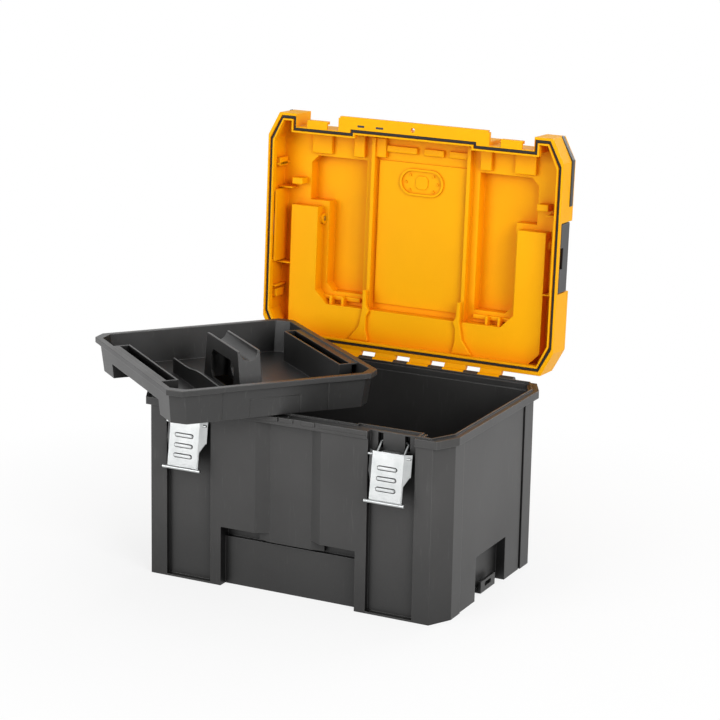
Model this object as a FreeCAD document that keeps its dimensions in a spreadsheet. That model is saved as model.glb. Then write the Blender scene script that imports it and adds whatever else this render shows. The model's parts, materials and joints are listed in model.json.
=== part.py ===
import FreeCAD, Part
import os
import re
import Sketcher

# Deep site tool case: a moulded tub, a hinged lid with a folding handle, two wire latches and a loose tray.
# Lengths are in millimetres and angles in degrees. X runs along the front, Y to the rear, Z up.
# The origin is the middle of the tub's footprint, on the floor. The lid is drawn closed and stands open.

SIZES = {
    # Tub outline and walls
    "case_width": 424, "case_depth": 303, "corner_x": 16, "corner_y": 31,
    "tub_height": 224, "rim_height": 10, "rim_over_x": 6, "rim_over_y": 2.5,
    "wall": 3, "floor_thick": 3, "foot_rise": 2, "foot_border": 26, "foot_groove": 8, "mouth_drop": 8,
    "overrun": 6,
    # Front of the tub
    "latch_x": 141.25, "channel_half": 31.75, "channel_depth": 7, "channel_rise": 2.5, "leg_width": 15,
    "panel_bottom": 78, "lower_top": 63, "lower_depth": 13, "undercut": 6,
    "valley_outer": 46, "valley_inner": 29, "valley_depth": 9, "valley_bottom": 66,
    "core_gap": 4,
    # Sides and rear of the tub
    "side_groove_y": 93, "groove_width": 3, "groove_depth": 5, "side_panel_depth": 1.5,
    "recess_half": 46, "recess_height": 58, "recess_depth": 14, "rear_depth": 5, "rear_top": 205,
    "hook_half": 22, "hook_height": 17, "hook_thick": 4, "hook_slot_half": 10, "hook_slot_height": 6,
    "hook_inset": 4,
    # Seal line, shared by the tub's tongue, the lid's channel and the seal
    "seal_in_x": 2, "seal_in_rear": 3, "seal_in_corner": 1.5, "seal_in_latch": 16.8, "seal_in_centre": 12,
    "seal_jog": 2.5, "seal_centre_jog": 20, "tongue_half": 1, "tongue_height": 2.5, "mouth_inset": 4,
    "seal_half": 2, "seal_fit": 0.15, "seal_gap": 0.3, "seal_thick": 1.8,
    # Hinge
    "hinge_back": 14.5, "hinge_drop": 5, "knuckle_radius": 6, "knuckle_pitch": 51.5, "knuckle_width": 20,
    "knuckle_gap": 0.5, "hinge_pin_radius": 2.5, "pin_fit": 0.05, "hinge_pin_gap": 2, "web_thick": 8,
    "lid_angle": 92.7,
    # Lid shell
    "lid_gap": 0.3, "lid_over_x": 2.5, "lid_over_y": 4, "lid_height": 42, "lid_skin": 3, "lid_rim_depth": 9,
    "lid_rim_inset": 4.5,
    "lid_wall_inset": 1.5, "front_flange": 158, "front_flange_thick": 6, "front_wall": 143.5,
    "latch_wall": 138,
    "front_flange_side": 2.25,
    "plateau_in": 80, "plateau_wide": 170, "plateau_narrow": 141, "plateau_front": 100, "plateau_step": 33,
    "plateau_rear": 90, "plateau_height": 18, "plateau_corner": 10,
    "rib_x": 70, "rib_half": 2.5, "rib_height": 10, "rib_front": 130, "rib_rear": 145, "rib_flare": 26,
    "rib_foot": 22,
    "panel_half": 64, "panel_front": 100, "panel_rear": 95, "panel_step": 2,
    "oval_y": 75, "oval_long": 14, "oval_radius": 18, "oval_wall": 3, "oval_height": 3,
    "wall_rib_half": 1.5, "wall_rib_length": 8, "wall_rib_pitch": 42,
    "padlock_radius": 3, "padlock_y": 148.5,
    "strip_thick": 3, "strip_proud": 1.2, "strip_low": 29, "strip_height": 9, "strip_end": 66,
    "strip_fit": 0.1,
    # Latch ledges on the lid
    "ledge_half": 15, "ledge_front": 148.5, "ledge_back": 144.5, "ledge_height": 8, "ledge_floor": 3,
    # Carry handle and its pocket
    "pocket_in": 150, "pocket_out": 184, "pocket_front": 26, "pocket_rear": 147, "pocket_base": 106,
    "pocket_depth": 17,
    "pocket_corner": 18, "handle_gap": 6, "handle_arm": 21, "handle_base": 24, "handle_thick": 18,
    "handle_axis_y": 12,
    "handle_lift": 2.5, "handle_corner": 14, "handle_pin_radius": 3.5, "handle_boss": 7.5,
    "handle_pin_seat": 7,
    "grip_half": 62, "grip_wall": 2, "handle_edge": 3,
    # Stacking latches on the lid's sides
    "clip_half": 45, "clip_gap": 1.5, "clip_depth": 9.5, "clip_thick": 7, "clip_low": 7, "clip_axis": 34,
    "clip_axis_in": 4.5,
    "clip_round": 3.5, "clip_waist": 14, "clip_notch": 9, "clip_pin_radius": 2, "clip_pin_seat": 6,
    # Front latches
    "link_back": 12, "link_z": 222, "wire_radius": 1.5, "link_half": 18, "link_length": 22, "link_end": 10.5,
    "link_bend": 2.6,
    "link_rest": 40, "slot_side": 2, "slot_top": 10, "slot_bottom": 8.5, "housing_half": 29,
    "housing_depth": 13,
    "housing_drop": 12, "wire_fit": 0.08,
    "lever_sheet": 1.2, "lever_half": 21, "lever_front": 4, "lever_top": 4.7, "lever_drop": 57,
    "wing_half": 28.5,
    "wing_back": 4, "wing_drop": 34, "wing_bottom": 23, "hook_reach": 10.3, "hook_tip": 2.2,
    "hook_lip_half": 13, "lever_lean": 8,
    "roll_radius": 2.2, "roll_half": 27, "emboss_half": 10, "emboss_radius": 2, "emboss_pitch": 13,
    "emboss_first": 15,
    "emboss_proud": 0.7,
    # Tray
    "tray_length": 305, "tray_width": 278, "tray_height": 44.5, "tray_wall": 2.4, "tray_corner": 15,
    "tray_draft": 4,
    "tray_rim": 5, "tray_rim_height": 5, "tray_x": -125.3, "tray_y": -67, "tray_yaw": 50.5, "tray_seat": 0.2,
    "trough_half": 90, "trough_low_width": 20, "trough_high_width": 27, "trough_low_top": 41.5,
    "trough_high_top": 37.5,
    "trough_floor": 23, "tray_handle_half": 54, "tray_handle_gap": 12, "tray_handle_wall": 3,
    "tray_handle_top": 60,
    "tray_handle_slope": 14, "tray_channel": 14, "finger_half": 36, "finger_low": 18, "finger_high": 38,
    "fin_x": 50, "fin_wall": 2.4, "fin_half": 84, "fin_high": 31, "fin_low": 19, "end_rib_half": 46,
    "end_rib_depth": 0.8,
    "end_rib_height": 12,
}

doc = FreeCAD.newDocument("tool_case")
sheet = doc.addObject("Spreadsheet::Sheet", "Sizes")
for row, (alias, value) in enumerate(SIZES.items(), start=1):
    sheet.set("A%d" % row, alias.replace("_", " "))
    sheet.set("B%d" % row, str(value))
    sheet.setAlias("B%d" % row, alias)
doc.recompute()

# Lengths that several pieces share, written in the sheet's words
RIM_TOP = "(tub_height + rim_height)"
LID_LOW = "(tub_height + rim_height + lid_gap)"
LID_TOP = "(tub_height + rim_height + lid_gap + lid_height)"
CEILING = "(tub_height + rim_height + lid_gap + lid_height - lid_skin)"
HALF_X = "(case_width / 2)"
HALF_Y = "(case_depth / 2)"
LID_X = "(case_width / 2 + lid_over_x)"
LID_Y = "(case_depth / 2 + lid_over_y)"
HINGE_Y = "(case_depth / 2 + hinge_back)"
HINGE_Z = "(tub_height + rim_height - hinge_drop)"
LINK_Y = "(case_depth / 2 - link_back)"
CHANNEL_FACE = "(case_depth / 2 - channel_depth)"
POCKET_FLOOR = "(tub_height + rim_height + lid_gap + lid_height - pocket_depth)"
HANDLE_Z = "(tub_height + rim_height + lid_gap + lid_height - pocket_depth + handle_lift + handle_thick / 2)"
CLIP_Z = "(tub_height + rim_height + lid_gap + clip_axis)"
CLIP_X = "(case_width / 2 + lid_over_x - clip_axis_in)"
# Places along the hinge, counted in knuckle pitches from the middle
WHOLE_PLACES = (-2, -1, 0, 1, 2)
HALF_PLACES = (-2.5, -1.5, -0.5, 0.5, 1.5, 2.5)


def link(text):
    """Point each word of a formula at its cell in the sheet."""
    return re.sub(r"[a-z][a-z_]*", lambda word: "Sizes." + word.group(0), text)


def size(text):
    """The present value of a formula written in the sheet's words."""
    return float(sheet.evalExpression(link(text)))


def minus(text):
    return "-(%s)" % text


def origin_plane(body, name):
    return [item for item in body.Origin.OriginFeatures if item.Role == name][0]


def rectangle(left, right, low, high):
    return [(left, low), (right, low), (right, high), (left, high)]


def mirrored_outline(half):
    """Close an outline that is given for the right half only."""
    left = [(minus(x), y) for x, y in reversed(half)]
    return half + left


def octagon(half_x, front, rear, cut_x, cut_y):
    """Rectangle with its four corners cut, given by its distances from the middle."""
    right = [
        ("%s - %s" % (half_x, cut_x), minus(front)),
        (half_x, "%s - (%s)" % (cut_y, front)),
        (half_x, "%s - %s" % (rear, cut_y)),
        ("%s - %s" % (half_x, cut_x), rear),
    ]
    return mirrored_outline(right)


def seal_line(inset):
    """The seal's path round the rim, moved inwards by a distance: it steps back behind each latch."""
    inset = "(%s)" % inset
    side = "case_width / 2 - seal_in_x - %s" % inset
    rear = "case_depth / 2 - seal_in_rear - %s" % inset
    corner = "%s + seal_in_corner - case_depth / 2" % inset
    latch = "%s + seal_in_latch - case_depth / 2" % inset
    centre = "%s + seal_in_centre - case_depth / 2" % inset
    bend = "corner_x - (%s) / 2" % inset
    jog = "latch_x + channel_half + seal_jog + %s" % inset
    centre_jog = "latch_x - channel_half - seal_centre_jog - %s" % inset
    right = [
        (centre_jog, centre),
        (centre_jog, latch),
        (jog, latch),
        (jog, corner),
        ("%s - (%s)" % (side, bend), corner),
        (side, "%s + corner_y - (%s) / 2" % (corner, inset)),
        (side, "%s - corner_y + (%s) / 2" % (rear, inset)),
        ("%s - (%s)" % (side, bend), rear),
    ]
    return mirrored_outline(right)


def circle(x, y, radius):
    return ("circle", x, y, radius)


def slot_shape(x, y, half, radius):
    """Round-ended slot along the sketch's first axis."""
    return ("slot", x, y, half, radius)


def add_polygon(item, points, closed=True):
    """Straight lines through points; an open path leaves out the line back to its start."""
    first = item.GeometryCount
    count = len(points)
    lines = count if closed else count - 1
    corners = [FreeCAD.Vector(size(x), size(y), 0) for x, y in points]
    item.addGeometry([Part.LineSegment(corners[i], corners[(i + 1) % count]) for i in range(lines)], False)
    joined = count if closed else count - 2
    rules = [Sketcher.Constraint("Coincident", first + i, 2, first + (i + 1) % count,
                                 1) for i in range(joined)]
    item.addConstraint(rules)
    formulas = []
    rules = []
    for i, (x, y) in enumerate(points):
        line, end = (i, 1) if i < lines else (i - 1, 2)
        rules.append(Sketcher.Constraint("DistanceX", -1, 1, first + line, end, corners[i].x))
        rules.append(Sketcher.Constraint("DistanceY", -1, 1, first + line, end, corners[i].y))
        formulas += [x, y]
    bind(item, rules, formulas)


def add_circle(item, x, y, radius):
    first = item.GeometryCount
    centre = FreeCAD.Vector(size(x), size(y), 0)
    item.addGeometry(Part.Circle(centre, FreeCAD.Vector(0, 0, 1), size(radius)), False)
    rules = [
        Sketcher.Constraint("DistanceX", -1, 1, first, 3, centre.x),
        Sketcher.Constraint("DistanceY", -1, 1, first, 3, centre.y),
        Sketcher.Constraint("Radius", first, size(radius)),
    ]
    bind(item, rules, [x, y, radius])


def add_slot(item, x, y, half, radius):
    first = item.GeometryCount
    reach = size(radius)
    up = FreeCAD.Vector(0, 0, 1)
    right = FreeCAD.Vector(size(x) + size(half), size(y), 0)
    left = FreeCAD.Vector(size(x) - size(half), size(y), 0)
    top = FreeCAD.Vector(0, reach, 0)
    quarter = FreeCAD.Units.parseQuantity("90 deg").getValueAs("rad").Value
    item.addGeometry([
        Part.ArcOfCircle(Part.Circle(right, up, reach), -quarter, quarter),
        Part.LineSegment(right + top, left + top),
        Part.ArcOfCircle(Part.Circle(left, up, reach), quarter, 3 * quarter),
        Part.LineSegment(left - top, right - top),
    ], False)
    item.addConstraint([Sketcher.Constraint("Tangent", first + i, 2, first + (i + 1) % 4,
                                            1) for i in range(4)])
    rules = [
        Sketcher.Constraint("DistanceX", -1, 1, first, 3, right.x),
        Sketcher.Constraint("DistanceY", -1, 1, first, 3, right.y),
        Sketcher.Constraint("DistanceX", -1, 1, first + 2, 3, left.x),
        Sketcher.Constraint("Radius", first, reach),
        Sketcher.Constraint("Horizontal", first + 1),
    ]
    bind(item, rules, ["%s + %s" % (x, half), y, "%s - (%s)" % (x, half), radius])


def bind(item, rules, formulas):
    """Add constraints to a sketch and tie as many of them as have a formula to the sheet."""
    names = item.addConstraint(rules)
    for index, formula in zip(names, formulas):
        item.setExpression("Constraints[%d]" % index, link(formula))


def sketch(body, name, plane, loops, level="0"):
    """Sketch of closed loops, on one of the body's own planes or at a level above it."""
    item = body.newObject("Sketcher::SketchObject", "%s_%s_outline" % (body.Name, name))
    item.AttachmentSupport = [(origin_plane(body, plane + "_Plane"), "")]
    item.MapMode = "FlatFace"
    item.setExpression("AttachmentOffset.Base.z", link(level))
    for loop in loops:
        if loop[0] == "circle":
            add_circle(item, *loop[1:])
        elif loop[0] == "slot":
            add_slot(item, *loop[1:])
        else:
            add_polygon(item, loop)
    return item


def extrude(body, kind, name, plane, loops, level, length):
    feature_sketch = sketch(body, name, plane, loops, level)
    feature = body.newObject("PartDesign::" + kind, "%s_%s" % (body.Name, name))
    feature.Profile = feature_sketch
    feature.setExpression("Length", link(length))
    feature.Reversed = kind == "Pocket"
    return feature


def pad(body, name, plane, loops, low, high):
    """Add material between two levels along the plane's normal."""
    return extrude(body, "Pad", name, plane, loops, low, "%s - (%s)" % (high, low))


def pocket(body, name, plane, loops, low, high):
    """Cut material between two levels along the plane's normal."""
    return extrude(body, "Pocket", name, plane, loops, low, "%s - (%s)" % (high, low))


def mirror(body, name, features, plane="YZ"):
    twin = body.newObject("PartDesign::Mirrored", "%s_%s" % (body.Name, name))
    twin.Originals = features
    twin.MirrorPlane = (origin_plane(body, plane + "_Plane"), [""])
    body.Tip = twin
    return twin


def new_body(label):
    body = doc.addObject("PartDesign::Body", label)
    body.Label = label
    return body


def round_rod(label, radius, length):
    """Plain round rod along its own X axis."""
    body = new_body(label)
    pad(body, "length", "YZ", [circle("0", "0", radius)], "0", length)
    return body


def knuckles(body, name, reach, places, gap, front, web):
    """Hinge barrel and its web along X, parted by gaps for the other half's knuckles."""
    pad(body, name + "_web", "YZ", [web], minus(reach), reach)
    pad(body, name + "_barrel", "YZ", [circle(HINGE_Y, HINGE_Z, "knuckle_radius")], minus(reach), reach)
    back = HINGE_Y + " + knuckle_radius + overrun"
    gaps = []
    for place in places:
        low = "knuckle_pitch * %s - (%s) / 2" % (place, gap)
        high = "knuckle_pitch * %s + (%s) / 2" % (place, gap)
        gaps.append(rectangle(low, high, front, back))
    pocket(body, name + "_gaps", "XY", gaps, HINGE_Z + " - knuckle_radius - overrun",
           HINGE_Z + " + web_thick + overrun")


def build_tub():
    tub = new_body("tub")
    # Outer block, rim flange, sealing tongue and hinge knuckles
    pad(tub, "block", "XY", [octagon(HALF_X, HALF_Y, HALF_Y, "corner_x", "corner_y")], "0", "tub_height")
    rim = octagon("(case_width / 2 + rim_over_x)", "(case_depth / 2 + rim_over_y)",
                  "(case_depth / 2 + rim_over_y)",
                  "corner_x", "corner_y")
    pad(tub, "rim", "XY", [rim], "tub_height", RIM_TOP)
    tongue = [seal_line("-tongue_half"), seal_line("tongue_half")]
    pad(tub, "tongue", "XY", tongue, RIM_TOP, RIM_TOP + " + tongue_height")
    web = [
        ("case_depth / 2 - web_thick", "tub_height"),
        (HINGE_Y, HINGE_Z + " - knuckle_radius"),
        (HINGE_Y, HINGE_Z),
        ("case_depth / 2", RIM_TOP),
        ("case_depth / 2 - web_thick", RIM_TOP),
    ]
    knuckles(tub, "knuckle", "(knuckle_pitch * 3 + knuckle_width / 2)", HALF_PLACES,
             "knuckle_pitch - knuckle_width",
             "case_depth / 2 + rim_over_y", web)
    # Cavity: wide above the front recess, narrower beside it, and a mouth inside the seal line
    side = "(case_width / 2 - groove_depth - wall)"
    rear = "(case_depth / 2 - rear_depth - wall)"
    low_front = "(case_depth / 2 - lower_depth - undercut - wall)"
    high_front = "(case_depth / 2 - valley_depth - wall)"
    inner_cut = ["corner_x * 0.8", "corner_y * 0.8"]
    pocket(tub, "cavity_low", "XY", [octagon(side, low_front, rear, *inner_cut)], "foot_rise + floor_thick",
           "panel_bottom + wall + overrun")
    pocket(tub, "cavity_high", "XY", [octagon(side, high_front, rear, *inner_cut)], "panel_bottom + wall",
           RIM_TOP + " - mouth_drop")
    pocket(tub, "mouth", "XY", [seal_line("mouth_inset")], RIM_TOP + " - mouth_drop",
           RIM_TOP + " + tongue_height + overrun")
    # Middle of the front: padlock valley, the recessed lower panel and the grip undercut above it
    valley = mirrored_outline([
        ("valley_inner", "valley_depth - case_depth / 2"),
        ("valley_outer", "-case_depth / 2"),
        ("valley_outer", "-case_depth / 2 - overrun"),
    ])
    pocket(tub, "valley", "XY", [valley], "0", "tub_height")
    inner_leg = "latch_x - channel_half - leg_width"
    lower = rectangle(minus(inner_leg), inner_leg, "-case_depth / 2 - overrun",
                      "lower_depth - case_depth / 2")
    pocket(tub, "lower_recess", "XY", [lower], "0", "panel_bottom")
    grip = rectangle(minus(inner_leg), inner_leg, "-case_depth / 2",
                     "lower_depth + undercut - case_depth / 2")
    pocket(tub, "grip_undercut", "XY", [grip], "lower_top", "panel_bottom")
    lip = mirrored_outline([
        ("valley_outer", "lower_depth + undercut - case_depth / 2"),
        ("valley_outer", "lower_depth - case_depth / 2"),
        ("valley_inner", "valley_depth - case_depth / 2"),
    ])
    pad(tub, "valley_lip", "XY", [lip], "valley_bottom", "panel_bottom")
    pocket(tub, "padlock_hole", "XY", [circle("0", "-padlock_y", "padlock_radius")], "tub_height - overrun",
           RIM_TOP + " + overrun")
    rear_middle = rectangle(minus(inner_leg), inner_leg, "case_depth / 2 - rear_depth",
                            "case_depth / 2 + overrun")
    pocket(tub, "rear_middle", "XY", [rear_middle], "channel_rise", "rear_top")
    # Underside groove and the bore for the hinge rods
    under = []
    for inset in ("foot_border", "foot_border + foot_groove"):
        under.append(octagon("(case_width / 2 - (%s))" % inset, "(case_depth / 2 - (%s))" % inset,
                             "(case_depth / 2 - (%s))" % inset, "corner_x", "corner_y"))
    pocket(tub, "underside", "XY", under, "0", "foot_rise")
    pocket(tub, "hinge_bore", "YZ", [circle(HINGE_Y, HINGE_Z, "hinge_pin_radius + pin_fit")],
           "-case_width / 2", HALF_X)
    # Each side of the front: a hollow behind the big panel, the latch housing and the latch channel
    hollow = rectangle("valley_outer + wall", "latch_x - channel_half - wall", "wall - case_depth / 2",
                       minus(high_front))
    hollow_cut = pocket(tub, "panel_hollow", "XY", [hollow], "panel_bottom + wall",
                        RIM_TOP + " - mouth_drop - core_gap")
    housing = rectangle("latch_x - housing_half", "latch_x + housing_half", minus(CHANNEL_FACE),
                        "housing_depth - (%s)" % CHANNEL_FACE)
    housing_pad = pad(tub, "latch_housing", "XY", [housing], "link_z - housing_drop",
                      RIM_TOP + " - mouth_drop")
    channel = rectangle("latch_x - channel_half", "latch_x + channel_half", "-case_depth / 2 - overrun",
                        minus(CHANNEL_FACE))
    channel_cut = pocket(tub, "latch_channel", "XY", [channel], "channel_rise", RIM_TOP + " + overrun")
    bore = [circle(minus(LINK_Y), "link_z", "wire_radius + wire_fit")]
    reach = "link_half + wire_radius + slot_side"
    bore_cut = pocket(tub, "link_bore", "YZ", bore, "latch_x - (%s)" % reach, "latch_x + %s" % reach)
    slots = []
    for sign in ("-", "+"):
        middle = "latch_x %s link_half" % sign
        slots.append(rectangle("%s - wire_radius - slot_side" % middle,
                               "%s + wire_radius + slot_side" % middle,
                               "link_z - slot_bottom", "link_z + slot_top"))
    slot_cut = pocket(tub, "link_slots", "XZ", slots, LINK_Y + " - wire_radius - slot_side",
                      CHANNEL_FACE + " + overrun")
    rear_outer = rectangle("latch_x - channel_half", "latch_x + channel_half", "case_depth / 2 - rear_depth",
                           "case_depth / 2 + overrun")
    rear_cut = pocket(tub, "rear_recess", "XY", [rear_outer], "channel_rise", "rear_top")
    # Side: panel, two grooves, and the recess with its slotted stacking hook
    panel = rectangle("case_width / 2 - side_panel_depth", "case_width / 2 + overrun", "-side_groove_y",
                      "side_groove_y")
    panel_cut = pocket(tub, "side_panel", "XY", [panel], "0", "tub_height")
    grooves = []
    for sign in ("-", ""):
        middle = sign + "side_groove_y"
        grooves.append(rectangle("case_width / 2 - groove_depth", "case_width / 2 + overrun",
                                 "%s - groove_width / 2" % middle,
                                 "%s + groove_width / 2" % middle))
    groove_cut = pocket(tub, "side_grooves", "XY", grooves, "0", "tub_height - groove_width")
    box = rectangle("case_width / 2 - recess_depth - wall", "case_width / 2 - groove_depth",
                    "-recess_half - wall",
                    "recess_half + wall")
    box_pad = pad(tub, "recess_box", "XY", [box], "foot_rise", "recess_height + wall")
    recess = rectangle("case_width / 2 - recess_depth", "case_width / 2 + overrun", "-recess_half",
                       "recess_half")
    recess_cut = pocket(tub, "side_recess", "XY", [recess], "0", "recess_height")
    shelf = rectangle("case_width / 2 - recess_depth - wall", "case_width / 2 - hook_inset", "-hook_half",
                      "hook_half")
    shelf_pad = pad(tub, "hook_shelf", "XY", [shelf], "foot_rise", "foot_rise + wall")
    hook = rectangle("case_width / 2 - hook_inset - hook_thick", "case_width / 2 - hook_inset", "-hook_half",
                     "hook_half")
    hook_pad = pad(tub, "hook_plate", "XY", [hook], "foot_rise", "hook_height")
    opening = [slot_shape("0", "foot_rise + wall + hook_slot_height", "hook_slot_half - hook_slot_height / 2",
                          "hook_slot_height / 2")]
    hook_cut = pocket(tub, "hook_slot", "YZ", opening, "case_width / 2 - hook_inset - hook_thick - wall",
                      "case_width / 2 + overrun")
    mirror(tub, "other_side",
           [hollow_cut, housing_pad, channel_cut, bore_cut, slot_cut, rear_cut, panel_cut, groove_cut,
                               box_pad, recess_cut, shelf_pad, hook_pad, hook_cut])
    return tub


def handle_pocket(grow):
    """U-shaped plan of the handle's pocket in the lid, made wider all round by a distance."""
    outer = "pocket_out + %s" % grow
    inner = "pocket_in - (%s)" % grow
    front = "-pocket_front - (%s)" % grow
    rear = "pocket_rear + %s" % grow
    base = "pocket_base - (%s)" % grow
    right = [
        ("%s - pocket_corner" % inner, base),
        (inner, "%s - pocket_corner" % base),
        (inner, front),
        (outer, front),
        (outer, "%s - pocket_corner" % rear),
        ("%s - pocket_corner" % outer, rear),
    ]
    return mirrored_outline(right)


def plateau(inset):
    """L-shaped plan of the raised field on the right half of the lid."""
    return [
        ("plateau_in + %s" % inset, "%s - plateau_front" % inset),
        ("plateau_wide - plateau_corner - (%s)" % inset, "%s - plateau_front" % inset),
        ("plateau_wide - (%s)" % inset, "plateau_corner + %s - plateau_front" % inset),
        ("plateau_wide - (%s)" % inset, "-plateau_step - (%s)" % inset),
        ("plateau_narrow - (%s)" % inset, "-plateau_step - (%s)" % inset),
        ("plateau_narrow - (%s)" % inset, "plateau_rear - plateau_corner - (%s)" % inset),
        ("plateau_narrow - plateau_corner - (%s)" % inset, "plateau_rear - (%s)" % inset),
        ("plateau_in + %s" % inset, "plateau_rear - (%s)" % inset),
    ]


def corner_strip(fit):
    """Plan of the strip round the lid's front right corner, seated in the wall."""
    proud = "(strip_proud + %s)" % fit
    deep = "(strip_thick - strip_proud + %s)" % fit
    return [
        ("%s - corner_x - (%s)" % (LID_X, fit), "-(%s) - %s" % (LID_Y, proud)),
        ("%s + %s" % (LID_X, proud), "corner_y - (%s) - %s" % (LID_Y, proud)),
        ("%s + %s" % (LID_X, proud), "%s - strip_end" % fit),
        ("%s - %s" % (LID_X, deep), "%s - strip_end" % fit),
        ("%s - %s" % (LID_X, deep), "corner_y - (%s) + %s" % (LID_Y, deep)),
        ("%s - corner_x - (%s)" % (LID_X, fit), "-(%s) + %s" % (LID_Y, deep)),
    ]


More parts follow.
